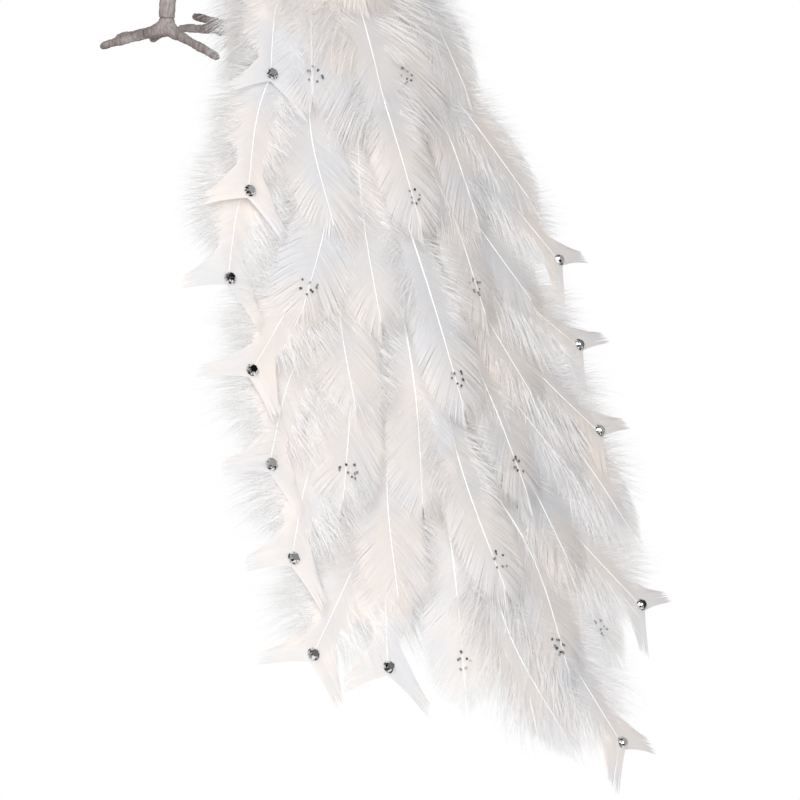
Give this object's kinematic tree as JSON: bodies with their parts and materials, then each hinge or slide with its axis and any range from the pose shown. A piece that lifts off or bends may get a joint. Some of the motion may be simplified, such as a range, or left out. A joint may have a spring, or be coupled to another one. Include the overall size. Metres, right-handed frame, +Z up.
{
  "type": "feathered peacock ornament",
  "caption": "Decorative white peacock of carved foam and plumes on wrapped wire legs, with a long hanging train of fluffy feathers trimmed with stones and glitter.",
  "frame": {"origin": "the point of the perch midway between the two feet, at the height of their soles", "axes": "the bird faces -X, +Z is up, its left side is -Y"},
  "size_m": [0.4263, 0.263, 0.7779],
  "materials": {
    "plume": "soft white dyed goose and marabou plume",
    "foam": "carved white foam",
    "felt": "stiffened white felt",
    "tape": "grey-taupe crepe paper tape, wound tight",
    "wire": "soft annealed iron wire",
    "beak": "painted grey",
    "eye": "polished black bead",
    "stone": "faceted clear stone on silver foil",
    "glitter": "silver glitter"
  },
  "bodies": {
    "bird": {"foam_body": "foam", "left_hip_wire": "wire", "right_hip_wire": "wire", "tail_wire_stub": "wire", "rump_feathers": "plume", "back_feathers": "plume", "breast_feathers": "plume", "neck_feathers": "plume", "head_feathers": "plume", "foam_head": "foam", "upper_beak": "beak", "lower_beak": "beak", "left_eye": "eye", "right_eye": "eye", "crest_stems": "plume", "crest_tips": "plume", "left_wing_board": "felt", "right_wing_board": "felt", "left_wing_coverts": "plume", "right_wing_coverts": "plume", "left_wing_flights": "plume", "right_wing_flights": "plume", "left_thigh_tuft": "plume", "right_thigh_tuft": "plume"},
    "left_leg": {"left_leg_wires": "wire", "left_leg_wrap": "tape", "left_ankle_binding": "tape"},
    "right_leg": {"right_leg_wires": "wire", "right_leg_wrap": "tape", "right_ankle_binding": "tape"},
    "left_outer_toe": {"left_outer_toe": "tape"},
    "left_middle_toe": {"left_middle_toe": "tape"},
    "left_inner_toe": {"left_inner_toe": "tape"},
    "left_hind_toe": {"left_hind_toe": "tape"},
    "right_outer_toe": {"right_outer_toe": "tape"},
    "right_middle_toe": {"right_middle_toe": "tape"},
    "right_inner_toe": {"right_inner_toe": "tape"},
    "right_hind_toe": {"right_hind_toe": "tape"},
    "train": {"train_board": "felt", "train_wires": "wire", "train_row_1": "plume", "train_row_2": "plume", "train_row_3": "plume", "train_row_4": "plume", "train_row_5": "plume", "train_row_6": "plume", "train_row_7": "plume", "train_row_8": "plume", "train_tip_feathers": "plume", "train_under_feathers": "plume", "rhinestones": "stone", "glitter_dots": "glitter"}
  },
  "joints": [
    {"name": "left_hip", "type": "hinge", "parent": "bird", "child": "left_leg", "pos_m": [0.01, -0.024, 0.102], "axis": [0, 1, 0], "range_deg": [-15, 15]},
    {"name": "left_outer_toe_bend", "type": "hinge", "parent": "left_leg", "child": "left_outer_toe", "pos_m": [-0.01443, -0.02983, 0.00228], "axis": [0.3746, -0.9272, 0], "range_deg": [-15, 45]},
    {"name": "left_middle_toe_bend", "type": "hinge", "parent": "left_leg", "child": "left_middle_toe", "pos_m": [-0.01589, -0.024, 0.00413], "axis": [0, -1, 0], "range_deg": [-15, 45]},
    {"name": "left_inner_toe_bend", "type": "hinge", "parent": "left_leg", "child": "left_inner_toe", "pos_m": [-0.01443, -0.01757, 0.00347], "axis": [-0.4067, -0.9135, 0], "range_deg": [-15, 45]},
    {"name": "left_hind_toe_bend", "type": "hinge", "parent": "left_leg", "child": "left_hind_toe", "pos_m": [0.01512, -0.024, 0.00078], "axis": [0, 1, 0], "range_deg": [-15, 45]},
    {"name": "right_hip", "type": "hinge", "parent": "bird", "child": "right_leg", "pos_m": [0.01, 0.024, 0.102], "axis": [0, 1, 0], "range_deg": [-15, 15]},
    {"name": "right_outer_toe_bend", "type": "hinge", "parent": "right_leg", "child": "right_outer_toe", "pos_m": [-0.01482, 0.02999, 0.00526], "axis": [-0.3746, -0.9272, 0], "range_deg": [-15, 45]},
    {"name": "right_middle_toe_bend", "type": "hinge", "parent": "right_leg", "child": "right_middle_toe", "pos_m": [-0.01578, 0.024, 0.00867], "axis": [0, -1, 0], "range_deg": [-15, 45]},
    {"name": "right_inner_toe_bend", "type": "hinge", "parent": "right_leg", "child": "right_inner_toe", "pos_m": [-0.01462, 0.01749, 0.006], "axis": [0.4067, -0.9135, 0], "range_deg": [-15, 45]},
    {"name": "right_hind_toe_bend", "type": "hinge", "parent": "right_leg", "child": "right_hind_toe", "pos_m": [0.01545, 0.024, 0.00183], "axis": [0, 1, 0], "range_deg": [-15, 45]},
    {"name": "train_lift", "type": "hinge", "parent": "bird", "child": "train", "pos_m": [0.095, 0, 0.1], "axis": [0, -1, 0], "range_deg": [-6, 25]}
  ]
}
